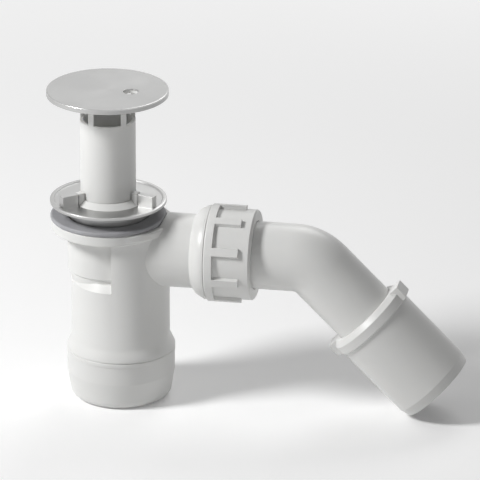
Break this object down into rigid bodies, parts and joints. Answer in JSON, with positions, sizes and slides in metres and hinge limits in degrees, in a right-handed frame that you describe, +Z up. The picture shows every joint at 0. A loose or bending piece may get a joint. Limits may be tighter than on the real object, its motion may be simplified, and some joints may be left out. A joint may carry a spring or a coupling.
{
  "type": "shower tray waste",
  "caption": "Shower tray waste with lift-out dip tube and cover, clamping flange, water trap, union nut, swivelling 45 degree outlet bend and reducing end sleeve.",
  "frame": {"origin": "centre of the tray hole, at the tray's upper face where the flange's rim rests", "axes": "+Z up along the drain's axis, +X towards the outlet"},
  "size_m": [0.2496, 0.072, 0.1915],
  "materials": {
    "cover_metal": "polished",
    "flange_metal": "polished",
    "tube_plastic": "smooth moulded",
    "guide_plastic": "smooth moulded",
    "dark_rubber": "matte",
    "seal_rubber": "matte",
    "body_plastic": "smooth moulded",
    "cup_plastic": "smooth moulded",
    "ring_plastic": "smooth moulded",
    "nut_plastic": "smooth moulded",
    "pipe_plastic": "smooth extruded",
    "sleeve_plastic": "smooth moulded"
  },
  "bodies": {
    "trap": {"trap_body": "body_plastic", "trap_cup": "cup_plastic", "tray_seal": "seal_rubber", "cone_seal": "dark_rubber"},
    "flange_carrier": {"tube_seal": "dark_rubber"},
    "flange": {"flange": "flange_metal", "guide_ring": "guide_plastic"},
    "dip_tube": {"dip_tube": "tube_plastic", "cover_plate": "cover_metal"},
    "nut_carrier": {"slip_ring": "ring_plastic"},
    "union_nut": {"union_nut": "nut_plastic"},
    "bend": {"elbow": "pipe_plastic"},
    "sleeve_carrier": {"sleeve_seal": "dark_rubber"},
    "end_sleeve": {"end_sleeve": "sleeve_plastic"}
  },
  "joints": [
    {"name": "flange_height", "type": "slide", "parent": "trap", "child": "flange_carrier", "axis": [0, 0, 1], "range_m": [-0.006, 0.01]},
    {"name": "flange_screw", "type": "hinge", "parent": "flange_carrier", "child": "flange", "pos_m": [0, 0, 0], "axis": [0, 0, 1], "range_deg": [-935, 1559]},
    {"name": "tube_lift", "type": "slide", "parent": "flange", "child": "dip_tube", "axis": [0, 0, 1], "range_m": [-0.0587, 0.05]},
    {"name": "nut_travel", "type": "slide", "parent": "trap", "child": "nut_carrier", "axis": [1, 0, 0], "range_m": [0, 0.0139]},
    {"name": "nut_screw", "type": "hinge", "parent": "nut_carrier", "child": "union_nut", "pos_m": [0.075, 0, -0.0283], "axis": [1, 0, 0], "range_deg": [0, 2160]},
    {"name": "bend_swivel", "type": "hinge", "parent": "trap", "child": "bend", "pos_m": [0.045, 0, -0.0283], "axis": [1, 0, 0], "continuous": true},
    {"name": "sleeve_pull", "type": "slide", "parent": "bend", "child": "sleeve_carrier", "axis": [0.7071, 0, -0.7071], "range_m": [0, 0.045]},
    {"name": "sleeve_turn", "type": "hinge", "parent": "sleeve_carrier", "child": "end_sleeve", "pos_m": [0.15313, 0, -0.06083], "axis": [0.7071, 0, -0.7071], "continuous": true}
  ],
  "couplings": [
    {"joint": "flange_height", "follows": "flange_screw", "m_per_rad": 0.00036749},
    {"joint": "nut_travel", "follows": "nut_screw", "m_per_rad": 0.00036749}
  ]
}
